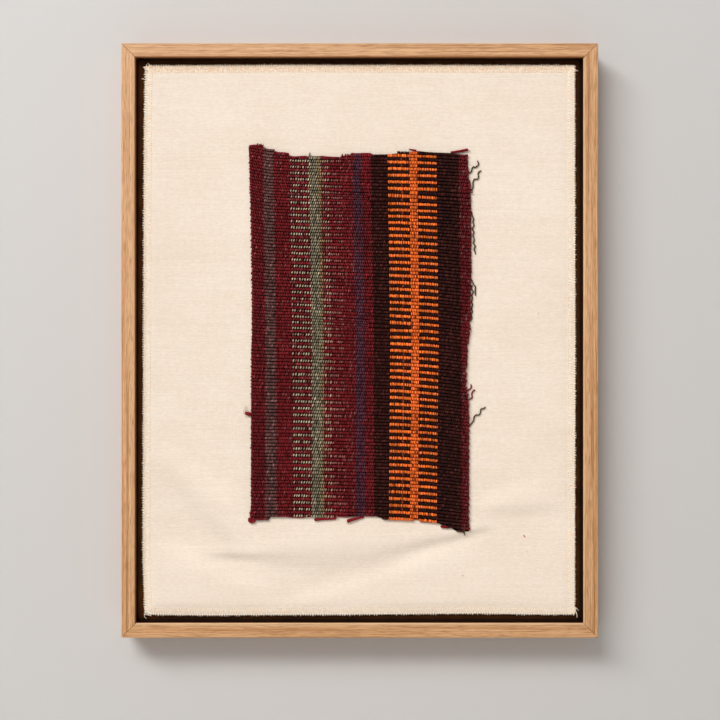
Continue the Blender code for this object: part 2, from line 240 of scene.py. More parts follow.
def stained_board():
    """Brown spirit stain on board: matte and slightly cloudy, with painted light by the left rail
    and painted shade by the right and bottom rails.
    """
    material, add, place = start_pattern("dark_stained_board", roughness=0.8, gloss=0.1)
    cloud = add("TexNoise", {"Vector": place, "Scale": CLOUDS_PER_MM / MM, "Detail": 5.0})
    colour = add("ValToRGB", {0: cloud})
    set_ramp(colour, ((0.3, "#2e1604"), (0.7, BOARD_STAIN)))
    parts = add("SeparateXYZ", {0: place}).node.outputs
    # Painted light and shade by the rails
    for axis, start, end, tone_start, tone_end in BOARD_PAINTED_LIGHT_AND_SHADE:
        colour = shaded(add, colour, parts[axis], start * MM, end * MM, tone_start, tone_end)
    return end_pattern(material, colour)


board = bpy.data.objects["backing_board"]
board.data.materials.clear()
board.data.materials.append(stained_board())

# Mount cloth
# Natural unbleached cotton in plain weave, cut a little smaller than the opening and laid on
# the board. It was folded before, so soft troughs run through its lower third.
CENTRE_Z = -263.8 * MM
BOARD_FRONT_Y = -24.5 * MM
FIT_GAP = 0.3 * MM
CLOTH_THICK = 1.2 * MM
CLOTH_LOW_Y = BOARD_FRONT_Y - FIT_GAP - CLOTH_THICK
CLOTH_LEFT, CLOTH_RIGHT = -196.6 * MM, 195.8 * MM
CLOTH_TOP, CLOTH_BOTTOM = 249.8 * MM, -248.9 * MM
CUT_INSET = 0.75 * MM
CLOTH_LIFT = 0.8 * MM
HEM_LIFT = 0.3 * MM
SWELL = 1.5 * MM
SWELL_TOP, SWELL_RUN, SWELL_WAVE = -178 * MM, 30 * MM, 36 * MM
HEM_WAVES = 19 * MM, 23 * MM
HEM_BAND = 12 * MM
HEM_WIDTH = 5.5 * MM
CLOTH_STEP = 2.3 * MM
COTTON_LIGHT = "#f6e7d7"
COTTON_SHADE = "#ead9c6"
# Painted light: the cotton is drawn lighter towards the right and towards the bottom, by these
# shares a metre
PAINTED_LIGHT_RIGHT, PAINTED_LIGHT_UP = 0.17, -0.13

# How far each edge bows in, in mm. Columns: place along the edge, bow
LEFT_BOW = ((0.0, 1.8), (0.08, 0.8), (0.3, 0.2), (0.9, -0.6), (1.0, 1.2))
RIGHT_BOW = ((0.0, 0.3), (0.5, -0.2), (1.0, 0.3))
TOP_BOW = ((0.0, 0.1), (0.3, -0.7), (1.0, -0.3))
BOTTOM_BOW = ((0.0, -0.1), (0.13, -0.8), (0.48, -0.1), (0.78, 0.9), (0.95, -0.2), (1.0, 0.3))

# Folds: lines that the cloth steps down over, or up where the step is negative.
# Columns: x and z in mm from the frame's centre, half width, step
FOLDS = (
    ((-146, -196, 3.5, 0.0), (-119, -195, 3.2, 0.85), (-96, -196, 4.2, 0.9), (-69, -197, 8, 1.1),
     (-29, -200, 12.5, 1.3), (12, -196, 11.5, 1.35), (43, -188.6, 6.5, 1.1), (64, -183, 4.4, 0.95),
     (89, -178, 3.4, 0.85), (103, -174, 3.0, 0.85), (113, -171.5, 3.2, 0.5),
     (126, -169.5, 3.6, 0.0)),
    ((-190, -106, 8, 0.0), (-169, -129, 9, 0.7), (-147, -153, 8, 0.9), (-123, -177, 5.5, 0.7),
     (-112, -191, 4, 0.0)),
    ((111, -157, 4, 0.0), (128, -154.5, 5, 0.5), (150, -154, 5.5, 0.6), (172, -153, 5, 0.4),
     (188, -152, 5, 0.0)),
    ((100, -150, 6, 0.0), (120, -142, 7, -0.5), (155, -130, 9, -0.5), (175, -122, 9, 0.0)),
    ((-85, -243, 8, 0.0), (-56, -235, 8, -0.5), (-17, -222, 8, -0.5), (37, -205, 8, -0.38),
     (73, -193.5, 7, -0.25), (103, -182.5, 7, -0.1), (125, -175, 6, 0.0)),
    ((-190, -176, 8, 0.0), (-170, -185, 9, -0.7), (-135, -203, 9, -0.8), (-100, -219, 9, -0.6),
     (-78, -227, 8, 0.0)),
    ((-190, -86, 8, 0.0), (-165, -103, 8, -0.6), (-130, -136, 8, -0.8), (-112, -156, 7, 0.0)),
)
FOLD_HEIGHT = 1.5
# Painted shade along the folds where the cloth steps down, painted light where it steps up, and
# painted shade on the cloth under the overlock stitches
FOLD_PAINTED_SHADE = 0.35
HEM_PAINTED_SHADE = 0.03


def ease(t):
    """A smooth step from 0 to 1."""
    t = np.clip(t, 0.0, 1.0)
    return t * t * (3.0 - 2.0 * t)


def along_table(table, place):
    """Values of a two-column table in mm, at places along it, in metres."""
    return np.interp(place, [row[0] for row in table], [row[1] for row in table]) * MM


def cloth_edges(across, down):
    """Left, right, top and bottom cut edge of the cloth, inside its overlock, at places
    from 0 to 1."""
    bows = [along_table(table, place) + CUT_INSET for table, place in (
        (LEFT_BOW, down), (RIGHT_BOW, down), (TOP_BOW, across), (BOTTOM_BOW, across))]
    return (CLOTH_LEFT + bows[0], CLOTH_RIGHT - bows[1], CLOTH_TOP - bows[2],
            CLOTH_BOTTOM + bows[3])


def from_edge(x, z, left, right, top, bottom):
    """How far a place lies in from the nearest of the cut edges."""
    return np.minimum(np.minimum(x - left, right - x), np.minimum(top - z, z - bottom))


def fold_steps(x, z):
    """How far the cloth lies lower because of its folds: a ridge above a line, a hollow below.
    Also how steep it steps along each line."""
    total, steep = np.zeros_like(x), np.zeros_like(x)
    for line in FOLDS:
        nearest = np.full_like(x, np.inf)
        step, slope = np.zeros_like(x), np.zeros_like(x)
        for (x0, z0, width0, step0), (x1, z1, width1, step1) in zip(line, line[1:]):
            run_x, run_z = (x1 - x0) * MM, (z1 - z0) * MM
            off_x, off_z = x - x0 * MM, z - z0 * MM
            share = (off_x * run_x + off_z * run_z) / (run_x ** 2 + run_z ** 2)
            share = np.clip(share, 0.0, 1.0)
            distance = np.hypot(off_x - run_x * share, off_z - run_z * share)
            below = np.sign(run_z * off_x - run_x * off_z)
            width = (width0 + (width1 - width0) * share) * MM
            height = (step0 + (step1 - step0) * share) * MM * FOLD_HEIGHT
            t = below * distance / width
            bell = np.exp(-t * t / 2)
            closer = distance < nearest
            step = np.where(closer, height * t * bell, step)
            slope = np.where(closer, height / width * bell, slope)
            nearest = np.minimum(nearest, distance)
        total += step
        steep += slope
    return total, steep


def cloth_rise(x, z, edge):
    """How far the cloth stands off its lowest place."""
    swell = SWELL * ease((SWELL_TOP - z) / SWELL_RUN) * (0.7 + 0.3 * np.sin(x / SWELL_WAVE))
    hem = HEM_LIFT * (1.0 + 0.6 * np.sin(x / HEM_WAVES[0] + z / HEM_WAVES[1]))
    rise = CLOTH_LIFT + swell - fold_steps(x, z)[0]
    return np.maximum(hem + (rise - hem) * ease(edge / HEM_BAND), 0.0)


def cloth_surface(x, z):
    """Height of the cloth's front at places measured from the frame's centre."""
    across = (x - CLOTH_LEFT) / (CLOTH_RIGHT - CLOTH_LEFT)
    down = (CLOTH_TOP - z) / (CLOTH_TOP - CLOTH_BOTTOM)
    return CLOTH_LOW_Y - cloth_rise(x, z, from_edge(x, z, *cloth_edges(across, down)))


def natural_cotton():
    """Unbleached plain weave: matte, warm white, with slubs where the weft runs thick.
    The threads are 0.4 mm apart, too fine to show, so they are drawn 0.9 mm apart.
    It carries painted light, lighter towards the right and the bottom, painted shade along the
    folds and under the overlock stitches, and painted light where a fold steps up."""
    material, add, place = start_pattern("natural_cotton", roughness=0.92, gloss=0.2)

    def threads(length, width, detail):
        vector = add("Mapping", {"Vector": place, "Scale": (1 / length, 1 / length, 1 / width)})
        return add("TexNoise", {"Vector": vector, "Scale": 1.0, "Detail": detail})

    wefts = threads(4.0 * MM, 0.85 * MM, 2.0)
    slubs = threads(42 * MM, 0.9 * MM, 1.0)
    warps = threads(0.85 * MM, 7 * MM, 1.0)
    cloud = threads(70 * MM, 40 * MM, 2.0)
    cross = wefts
    for layer, weight in ((slubs, 0.42), (warps, 0.30)):
        cross = add("Math", {0: layer, 1: weight, 2: cross}, operation="MULTIPLY_ADD")
    both = add("Math", {0: cloud, 1: 0.5, 2: cross}, operation="MULTIPLY_ADD")
    tone = add("MapRange", {"Value": both, "From Min": 0.85, "From Max": 1.36})
    colour = add("Mix", {
        0: tone, 6: linear(COTTON_SHADE), 7: linear(COTTON_LIGHT)}, out=2, data_type="RGBA")
    parts = add("SeparateXYZ", {0: place}).node.outputs
    # Painted light, lighter towards the right and the bottom, less the painted fold and hem shade
    painted_light_gradient = 1.0 - CENTRE_Z * PAINTED_LIGHT_UP
    for part, change in ((parts[0], PAINTED_LIGHT_RIGHT), (parts[2], PAINTED_LIGHT_UP)):
        painted_light_gradient = add("Math", {0: part, 1: change, 2: painted_light_gradient}, operation="MULTIPLY_ADD")
    painted_fold_and_hem_shade = add("Attribute", out="Fac", attribute_name="painted_fold_and_hem_shade")
    painted_light_and_shade = add("Math", {0: painted_light_gradient, 1: painted_fold_and_hem_shade}, operation="SUBTRACT")
    cotton_with_painted_light = add("VectorMath", {0: colour, "Scale": painted_light_and_shade}, operation="SCALE")
    return end_pattern(material, cotton_with_painted_light, cross, strength=0.3, depth=0.2 * MM)


bpy.ops.object.select_all(action="DESELECT")
cloth_columns = round((CLOTH_RIGHT - CLOTH_LEFT) / CLOTH_STEP)
cloth_rows = round((CLOTH_TOP - CLOTH_BOTTOM) / CLOTH_STEP)
bpy.ops.mesh.primitive_grid_add(x_subdivisions=cloth_columns, y_subdivisions=cloth_rows, size=1)
cloth = bpy.context.object
cloth.name = "overlocked_cloth"
points = np.array([vert.co for vert in cloth.data.vertices])
across, down = points[:, 0] + 0.5, 0.5 - points[:, 1]
left, right, top, bottom = cloth_edges(across, down)
cloth_x, cloth_z = left + (right - left) * across, top + (bottom - top) * down
edge = from_edge(cloth_x, cloth_z, left, right, top, bottom)
cloth_y = CLOTH_LOW_Y - cloth_rise(cloth_x, cloth_z, edge)
# Painted shade along the folds and under the overlock stitches, painted light where a fold steps up,
# as a point attribute that the cotton reads
painted_fold_and_hem_shade = cloth.data.attributes.new("painted_fold_and_hem_shade", "FLOAT", "POINT")
painted_fold_and_hem_shade.data.foreach_set("value", fold_steps(cloth_x, cloth_z)[1] * FOLD_PAINTED_SHADE
                        + HEM_PAINTED_SHADE * (edge < HEM_WIDTH))
cloth.data.vertices.foreach_set(
    "co", np.stack([cloth_x, cloth_y, cloth_z + CENTRE_Z], axis=1).ravel())
thicken = cloth.modifiers.new("thickness", "SOLIDIFY")
thicken.thickness = CLOTH_THICK
thicken.offset = -1.0
bpy.ops.object.modifier_apply(modifier="thickness")
bpy.ops.object.shade_smooth_by_angle(angle=math.radians(40))
cloth.data.materials.append(natural_cotton())
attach(cloth, "root")
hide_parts("mount_cloth")

# Overlocked edge
# A three-thread overlock over the cloth's cut edge: slanting stitches side by side, 6 mm deep,
# that wrap the edge, with a row of needle stitches along their inner ends.
STITCH_PITCH = 1.5 * MM
STITCH_DEPTH = 5.8 * MM
STITCH_RADIUS = 0.33 * MM
STITCH_SLANT = 1.6 * MM
DEPTH_SPREAD, SLANT_SPREAD, RADIUS_SPREAD = (0.92, 1.06), (0.5, 1.3), (0.85, 1.15)
THREAD_GRAINS_PER_MM = 0.7
THREADS = {
    "cream_overlock_thread": ("#fce4ca", "#fff7ea"),
    "tan_overlock_thread": ("#efcba8", "#fff1dd"),
}

# Each side's end of the cloth, and the way in from it along x and z
WAYS_IN = {"left": (0.0, (1, 0)), "right": (1.0, (-1, 0)), "top": (0.0, (0, -1)),
           "bottom": (1.0, (0, 1))}

# One stitch's path. Columns: in from the edge, out from the cloth's front, share of the slant
STITCH_PATH = (
    (1.00, -0.25, 1.0), (0.90, 0.02, 0.9), (0.50, 0.08, 0.5), (0.08, 0.12, 0.1),
    (-0.05, 0.14, 0.0), (-0.13, -0.05, -0.05),
)

# Every third stitch has a loop over the edge, a tooth: how far out, and how thick along its path
TOOTH_EVERY = 3
TEETH = (0.9, 1.3, 1.5, 1.7, 2.0)
TOOTH_SHAPE = np.array((1.0, 1.0, 1.0, 1.2, 2.0, 1.7))

# One needle stitch. Columns: place in its pitch, out from the cloth's front
NEEDLE_PITCH = 2.3 * MM
NEEDLE_DEPTH = 1.04 * STITCH_DEPTH
NEEDLE_RADIUS = 0.8 * STITCH_RADIUS
NEEDLE_PATH = ((0.08, -0.1), (0.3, 0.12), (0.7, 0.12), (0.92, -0.1))


def spun_thread(name, dark, light, grains_per_mm, spread):
    """Spun thread or yarn: matte, with a faint grain of darker and lighter flecks."""
    material, add, place = start_pattern(name, roughness=0.9, gloss=0.2)
    grain = add("TexNoise", {"Vector": place, "Scale": grains_per_mm / MM})
    tone = add("ValToRGB", {0: grain})
    set_ramp(tone, ((0.5 - spread, dark), (0.5 + spread, light)))
    return end_pattern(material, tone)


def directions(path):
    """The unit direction of a path at each point, and square to it the way across and out."""
    along = np.gradient(path, axis=0)
    along /= np.linalg.norm(along, axis=1)[:, None]
    across = np.cross(along, np.array([0.0, -1.0, 0.0]))
    return along, across, np.cross(across, along)


def tube_mesh(name, paths, radii, sides):
    """One mesh of round tubes with closed ends, a path and its radii for each."""
    verts, faces = [], []
    angles = 2 * math.pi * np.arange(sides)[:, None] / sides
    for path, radius in zip(paths, radii):
        path = np.asarray(path, float)
        radius = np.broadcast_to(radius, len(path))
        tangent, side, up = directions(path)
        weak = np.linalg.norm(side, axis=1) < 0.2
        side[weak] = np.cross(tangent[weak], np.array([0.0, 0.0, 1.0]))
        side /= np.linalg.norm(side, axis=1)[:, None]
        up = np.cross(side, tangent)
        start, last = len(verts), len(verts) + (len(path) - 1) * sides
        for place, across, out, size in zip(path, side, up, radius):
            verts.extend(place + size * (across * np.cos(angles) + out * np.sin(angles)))
        for ring in range(start, last, sides):
            for k in range(sides):
                a, b = ring + k, ring + (k + 1) % sides
                faces.append((a, b, b + sides, a + sides))
        faces.append(tuple(range(start + sides - 1, start - 1, -1)))
        faces.append(tuple(range(last, last + sides)))
    mesh = bpy.data.meshes.new(name)
    mesh.from_pydata(verts, [], faces)
    mesh.shade_smooth()
    return mesh


def add_piece(name, mesh, material, slot, *nodes):
    """A finished piece that rides on the frame and stands for CAD nodes."""
    piece = bpy.data.objects.new(name, mesh)
    bpy.context.scene.collection.objects.link(piece)
    mesh.materials.append(material)
    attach(piece, "root")
    if nodes:
        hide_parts(*nodes)
    return piece


def add_tubes(name, paths, radii, material, slot, *nodes, sides=4):
    """A finished piece of round tubes."""
    return add_piece(name, tube_mesh(name, paths, radii, sides), material, slot, *nodes)


def cloth_outline(side, place):
    """A point of the cloth's edge, and the way in from it, at a place from 0 to 1."""
    end, inward = WAYS_IN[side]
    across, down = (end, place) if side in ("left", "right") else (place, end)
    left, right, top, bottom = cloth_edges(across, down)
    return left + (right - left) * across, top + (bottom - top) * down, *inward


def laid_paths(rows):
    """Paths from rows of x, z, x and z where the cloth's height is read, and height over it."""
    x, z, cloth_x, cloth_z, rise = np.moveaxis(np.array(rows), 2, 0)
    return np.stack([x, cloth_surface(cloth_x, cloth_z) - rise * MM, z + CENTRE_Z], axis=2)


threads = {name: spun_thread(name, *shades, THREAD_GRAINS_PER_MM, spread=0.12)
           for name, shades in THREADS.items()}
stitch_random = random.Random(4)
for side in WAYS_IN:
    span = CLOTH_TOP - CLOTH_BOTTOM if side in ("left", "right") else CLOTH_RIGHT - CLOTH_LEFT
    count = round(span / STITCH_PITCH)
    stitches, radii = [], []
    for number in range(2 * count):
        x, z, in_x, in_z = cloth_outline(side, (number / 2 + 0.5) / count)
        depth = STITCH_DEPTH * stitch_random.uniform(*DEPTH_SPREAD)
        slant = STITCH_SLANT * stitch_random.uniform(*SLANT_SPREAD) * (1 if number % 2 else -1)
        tooth = number % TOOTH_EVERY == 0
        out = stitch_random.choice(TEETH) if tooth else 0.0
        rows = []
        for inward, rise, share in STITCH_PATH:
            reach = depth * inward if inward > 0 else depth * inward * out
            read = depth * max(inward, 0.02)
            rows.append((x + in_x * reach + in_z * slant * share,
                         z + in_z * reach - in_x * slant * share,
                         x + in_x * read, z + in_z * read, rise))
        stitches.append(rows)
        radii.append(STITCH_RADIUS * stitch_random.uniform(*RADIUS_SPREAD)
                     * (TOOTH_SHAPE if tooth else 1.0))
    needle = []
    count = round(span / NEEDLE_PITCH)
    for number in range(count):
        rows = []
        for step, rise in NEEDLE_PATH:
            x, z, in_x, in_z = cloth_outline(side, (number + step) / count)
            px, pz = x + in_x * NEEDLE_DEPTH, z + in_z * NEEDLE_DEPTH
            rows.append((px, pz, px, pz, rise))
        needle.append(rows)
    thread = threads["tan_overlock_thread" if side == "top" else "cream_overlock_thread"]
    for kind, rows, sizes in (("overlock", stitches, radii),
                              ("needle", needle, [NEEDLE_RADIUS] * len(needle))):
        add_tubes(
            f"{kind}_stitches_{side}", laid_paths(rows), sizes, thread, "cotton_cloth")

# Tails of the overlock thread at the cloth's corners, in mm from the frame's centre.
# Columns: radius, x and z for each point
THREAD_TAILS = (
    (0.55, ((-188.6, 247.3), (-190.2, 249.4), (-192.4, 251.6))),
    (0.50, ((-192.6, 244.4), (-194.4, 246.4), (-196.4, 248.2))),
    (0.45, ((-194.8, 236.5), (-196.6, 237.6), (-198.0, 237.2))),
    (0.45, ((194.2, 246.6), (196.0, 245.2), (198.0, 244.4))),
    (0.42, ((-193.0, -246.0), (-195.2, -248.4), (-195.0, -250.8), (-193.2, -252.4))),
    (0.50, ((194.6, -243.6), (196.4, -246.4), (197.2, -249.2), (197.0, -251.4))),
    (0.40, ((195.0, -242.0), (197.2, -243.4), (198.6, -244.8))),
)
tails, tail_radii = [], []
for radius, points in THREAD_TAILS:
    rows = [(px * MM, pz * MM, px * MM * 0.98, pz * MM * 0.98, radius + 0.2) for px, pz in points]
    tails.append(laid_paths([rows])[0])
    tail_radii.append(np.linspace(radius, radius * 0.7, len(points)) * MM)
add_tubes(
    "thread_tails", tails, tail_radii, threads["cream_overlock_thread"], "cotton_cloth", sides=5)

# Specks and slubs of seed husk in the cotton. Columns: x and z in mm from the frame's centre,
# length, tilt in degrees, colour
SPECKS = (
    (162.2, 24.6, 1.1, 60, "#8c7a66"), (149.2, -177.4, 3.0, -50, "#d88263"),
    (152.0, -191.4, 1.2, 70, "#c9b49c"), (93.4, -213.2, 1.3, 20, "#6f5f50"),
    (-102.0, 186.6, 1.0, 0, "#c8b49c"), (102.0, -204.6, 0.9, 10, "#bfa890"),
    (-173.6, 99.6, 0.8, 30, "#c8b49c"), (140.2, 69.6, 0.8, 80, "#c8b49c"),
    (80.2, -233.6, 0.9, 0, "#c2ac94"), (131.0, -235.4, 1.0, 15, "#c2ac94"),
    (-15.0, -210.0, 0.8, 0, "#c2ac94"), (-115.6, -75.6, 0.8, 20, "#c8b49c"),
)
speck_paths = {}
for px, pz, length, tilt, colour in SPECKS:
    run_x = math.cos(math.radians(tilt)) * length / 2
    run_z = math.sin(math.radians(tilt)) * length / 2
    ends = [(px - run_x, pz - run_z), (px, pz + 0.15), (px + run_x, pz + run_z)]
    rows = [(x * MM, z * MM, x * MM, z * MM, 0.1) for x, z in ends]
    radius = (0.12 + 0.16 * length) * MM
    speck_paths.setdefault(colour, []).append((laid_paths([rows])[0], radius))
for number, (colour, paths) in enumerate(speck_paths.items(), start=1):
    husk = new_finish(f"cotton_seed_husk_{number}", roughness=0.8, colour=colour)
    add_tubes(
        f"specks_{number}", [path for path, radius in paths],
        [radius * np.array((0.6, 1.0, 0.5)) for path, radius in paths], husk, "cotton_cloth")

# Kilim ground
# The weave's wefts and the sunk parts of its warp, which show only as dark places between the
# floats. Their near-black and dark rust colours are painted shade in the crevices between the
# floats. It is the slab of the model, set back so that the floats stand on it.
FRAGMENT_LEFT = -98.0 * MM
FRAGMENT_TOP = 172.0 * MM
FRAGMENT_BACK_Y = CLOTH_LOW_Y - CLOTH_LIFT - FIT_GAP
GROUND_SET_BACK = 1.05 * MM
SLAB_MIDDLE = 1.5 * MM
FIBRES_PER_MM = 0.9

# Dyes of the warp, as they look in soft light
DYES = {
    "burgundy": "#7c1f22",
    "wine": "#721d20",
    "rose": "#93393d",
    "crimson": "#8a2026",
    "grey": "#643e3a",
    "stone": "#7a5551",
    "pale green": "#b6a285",
    "grey green": "#8a7e65",
    "straw": "#a3825c",
    "khaki": "#b28b72",
    "dusty red": "#864340",
    "pink": "#9c5a52",
    "purple": "#572d39",
    "brown black": "#34140e",
    "red black": "#4a201b",
    "orange": "#ff7830",
    "rust": "#8c3f1e",
    "dark red": "#6e1d20",
    "flesh": "#76403f",
}

# Stripes from left to right. Columns: right side in mm at the top, middle and bottom, floats
# in a row and between rows, dye of both, stray dye, its share, width of a float in its pitch,
# height of a float in its rib, lean in radians
STRIPES = (
    (10.5, 12.6, 12.5, 8, 8, "wine", "wine", "rose", 0.04, 0.86, 1.0, 0.26),
    (19.8, 22.3, 23.0, 6, 6, "grey", "grey", "stone", 0.12, 1.20, 0.90, 0.26),
    (33.8, 36.1, 37.4, 9, 9, "burgundy", "burgundy", "dusty red", 0.07, 0.86, 1.0, 0.26),
    (51.7, 55.0, 55.3, 8, 12, "pale green", "burgundy", "dusty red", 0.13, 0.62, 0.88, 0.26),
    (59.8, 62.6, 63.1, 4, 4, "grey green", "grey green", "pale green", 0.08, 0.80, 1.02, 0.26),
    (62.8, 65.7, 66.2, 2, 2, "straw", "straw", "grey green", 0.15, 0.74, 0.96, 0.26),
    (69.3, 72.5, 72.9, 3, 4, "khaki", "burgundy", "dusty red", 0.20, 0.68, 0.94, 0.26),
    (81.0, 83.8, 84.7, 7, 8, "pink", "burgundy", "burgundy", 0.35, 0.74, 0.84, 0.26),
    (91.5, 94.2, 94.7, 7, 7, "burgundy", "burgundy", "dusty red", 0.12, 0.86, 1.0, 0.26),
    (99.6, 102.8, 103.3, 5, 5, "purple", "purple", "dark red", 0.06, 0.94, 1.04, 0.26),
    (108.1, 110.8, 111.2, 5, 5, "wine", "wine", "crimson", 0.20, 0.86, 1.0, 0.26),
    (122.7, 125.2, 124.1, 9, 9, "brown black", "brown black", "red black", 0.25, 1.12, 0.86, 0.26),
    (143.2, 145.1, 143.7, 13, 13, "orange", "brown black", "orange", 0.0, 0.90, 1.06, 0.02),
    (150.3, 152.3, 151.0, 5, 5, "orange", "orange", "rust", 0.03, 0.80, 0.98, 0.02),
    (167.2, 169.4, 167.5, 11, 11, "orange", "brown black", "orange", 0.0, 0.88, 0.96, 0.02),
    (187.4, 190.0, 190.6, 13, 13, "brown black", "brown black", "red black", 0.25, 1.10, 0.86, 0.26),
    (198.6, 198.6, 198.6, 6, 6, "dark red", "dark red", "flesh", 0.10, 0.84, 1.0, 0.26),
)
STRIPES_START = (-2.0, 0.6, -0.6)
STRIPE_HEIGHTS = (0.0, 172.0, 335.0)

# Rows of the ladder stripes, in mm down from the corner. Columns: row, then its place at each
# of ROW_PLACES across. Two more rows are wedged in at the left, after rows 6 and 25
ROW_PLACES = (0, 16, 44, 134, 160, 178, 196)
ROWS = (
    (-4, -23.4, -20.4, -19.0, -18.3, -17.4, -16.4, -15.4),
    (0, -0.6, 2.4, 3.8, 4.5, 5.4, 6.4, 7.4),
    (3, 16.1, 19.1, 20.5, 22.4, 22.9, 23.8, 24.9),
    (5, 27.5, 30.3, 31.6, 34.5, 35.0, 36.0, 37.2),
    (6, 32.5, 35.4, 36.7, 41.0, 42.6, 43.7, 44.9),
    (7, 43.1, 45.8, 47.2, 48.1, 49.0, 50.1, 51.4),
    (11, 66.3, 68.6, 69.9, 71.0, 72.4, 73.7, 75.2),
    (17, 101.8, 103.6, 104.7, 107.3, 108.4, 110.0, 111.9),
    (22, 131.9, 133.2, 134.2, 137.8, 139.2, 141.0, 143.2),
    (25, 148.3, 149.4, 150.3, 156.1, 157.7, 159.7, 162.1),
    (26, 159.0, 160.0, 160.8, 163.0, 163.7, 165.7, 168.2),
    (29, 176.0, 176.8, 177.6, 181.2, 182.6, 184.6, 187.0),
    (34, 207.7, 208.3, 208.9, 211.6, 213.8, 215.8, 218.2),
    (42, 256.9, 257.2, 257.6, 260.3, 261.6, 263.6, 265.9),
    (53, 324.4, 324.5, 324.6, 327.5, 329.2, 331.2, 333.3),
    (58, 354.8, 354.8, 354.9, 357.8, 359.6, 361.5, 363.6),
)
WEDGED_AFTER = (6, 25)
WEDGE_END = 106.0


def wool_ground():
    """Sunk wool between the floats, in painted shade: nearly black-red, rust where the orange
    stripes run.
    """
    material, add, place = start_pattern("sunk_wool_painted_shade", roughness=0.95, gloss=0.05)
    x = add("SeparateXYZ", {0: place})
    across = add("MapRange", {
        "Value": x, "From Min": FRAGMENT_LEFT, "From Max": FRAGMENT_LEFT + 200 * MM})
    tone = add("ValToRGB", {0: across})
    tone.node.color_ramp.interpolation = "CONSTANT"
    set_ramp(tone, ((0.0, "#2c0508"), (0.27, "#2b261b"), (0.325, "#300608"), (0.615, "#160604"),
                    (0.72, "#962604"), (0.757, "#160604"), (0.945, "#2c060a")))
    fibre = add("TexNoise", {"Vector": place, "Scale": FIBRES_PER_MM / MM, "Detail": 3.0})
    colour = shaded(add, tone, fibre, 0.3, 0.7, 0.6, 1.0)
    return end_pattern(material, colour)


slab = bpy.data.objects["kilim_fragment"]
ground_mesh = slab.data.copy()
ground_mesh.name = "kilim_ground"
ground_mesh.materials.clear()
ground_edit = bmesh.new()
ground_edit.from_mesh(ground_mesh)
bmesh.ops.remove_doubles(ground_edit, verts=ground_edit.verts, dist=0.01 * MM)
slab_tree = BVHTree.FromBMesh(ground_edit)
for vert in ground_edit.verts:
    if vert.co.y < FRAGMENT_BACK_Y - SLAB_MIDDLE:
        vert.co.y += GROUND_SET_BACK
ground_edit.to_mesh(ground_mesh)
ground_edit.free()
ground = add_piece("kilim_ground", ground_mesh, wool_ground(), "kilim_wool", "kilim_fragment")

# Warp floats
# The face of the flatweave: hard-spun two-ply wool ends, packed side by side, that pass over
# one weft and dive under the next. Odd and even ends take turns, so a stripe of two dyes
# becomes a ladder of bars, and a stripe of one dye a brick pattern.
FLOAT_SIDES, FLOAT_RINGS = 6, 4
FLOAT_FULLNESS = 0.75
FLOAT_WIDENED = 1.15
FLOAT_THICK = 0.95 * MM
FLOAT_CENTRE_Y = FRAGMENT_BACK_Y - 1.85 * MM
FLOATS_PER_PIECE = 5200
HAIRS_PER_MM, DYE_PATCHES_PER_MM = 1.4, 0.045

# Where in its pitch a light and a dark end lie, and how wide and tall a dark one is between
# light ones. Then a float's spread: of its place, brightness, lean and length
LIGHT_PLACE, DARK_PLACE = 0.70, 0.30
DARK_WIDTH, DARK_HEIGHT = 0.95, 0.98
UNEVEN = 0.07
BRIGHTNESS, BRIGHTNESS_SPREAD, DULLEST = 1.02, 0.24, 0.45
LEAN_SPREAD = 0.08
SHORTEST, LONGEST = 0.90, 1.08

# The ninth dark end of the left orange ladder has faded: its stripe's right side and its number
FADED_END = (143.2, 8)

# Painted highlight and shade on each float: red, green and blue of the dye at its lit top, what
# they lose where it is shaded, and how strongly its sides and its ends are shaded
PAINTED_HIGHLIGHT_TOP = np.array((1.29, 1.75, 1.83))
PAINTED_SHADE_DEPTH = np.array((1.15, 2.35, 2.45))
SIDE_PAINTED_SHADE, END_PAINTED_SHADE = 0.62, 0.45


def spun_wool():
    """Hard-spun wool: matte, with a soft halo of fibres and dye that took unevenly. Each float's
    dye attribute also carries painted highlight and painted shade.
    """
    material, add, place = start_pattern("hard_spun_wool", roughness=0.85, gloss=0.15)
    dye = add("Attribute", out="Color", attribute_name="dye")
    fibre, patch = (
        add("TexNoise", {"Vector": place, "Scale": cells / MM, "Detail": detail})
        for cells, detail in ((HAIRS_PER_MM, 2.0), (DYE_PATCHES_PER_MM, 3.0)))
    both = add("Math", {0: fibre, 1: patch}, operation="ADD")
    colour = shaded(add, dye, both, 0.7, 1.3, 0.75, 1.2)
    return end_pattern(material, colour, fibre, strength=0.4, depth=0.2 * MM)


def stripe_sides(down):
    """Left side of the first stripe and right side of each, in mm, at a height in mm."""
    rows = [STRIPES_START] + [stripe[:3] for stripe in STRIPES]
    return [float(np.interp(down, STRIPE_HEIGHTS, row)) for row in rows]


def row_places(row):
    """How far down a row lies at each of ROW_PLACES, in mm."""
    numbers, *columns = zip(*ROWS)
    return [np.interp(row, numbers, column) for column in columns]


def on_slab(across, down, reach=1.0):
    """Whether the fragment covers a place in mm, or all but reaches it."""
    for side, below in ((0.0, 0.0), (-0.7, 0.7), (0.7, 0.7), (0.0, 0.6)):
        start = Vector((FRAGMENT_LEFT + (across + side * reach) * MM, -0.1,
                        FRAGMENT_TOP - (down + below * reach) * MM + CENTRE_Z))
        if slab_tree.ray_cast(start, Vector((0, 1, 0)))[0] is not None:
            return True
    return False


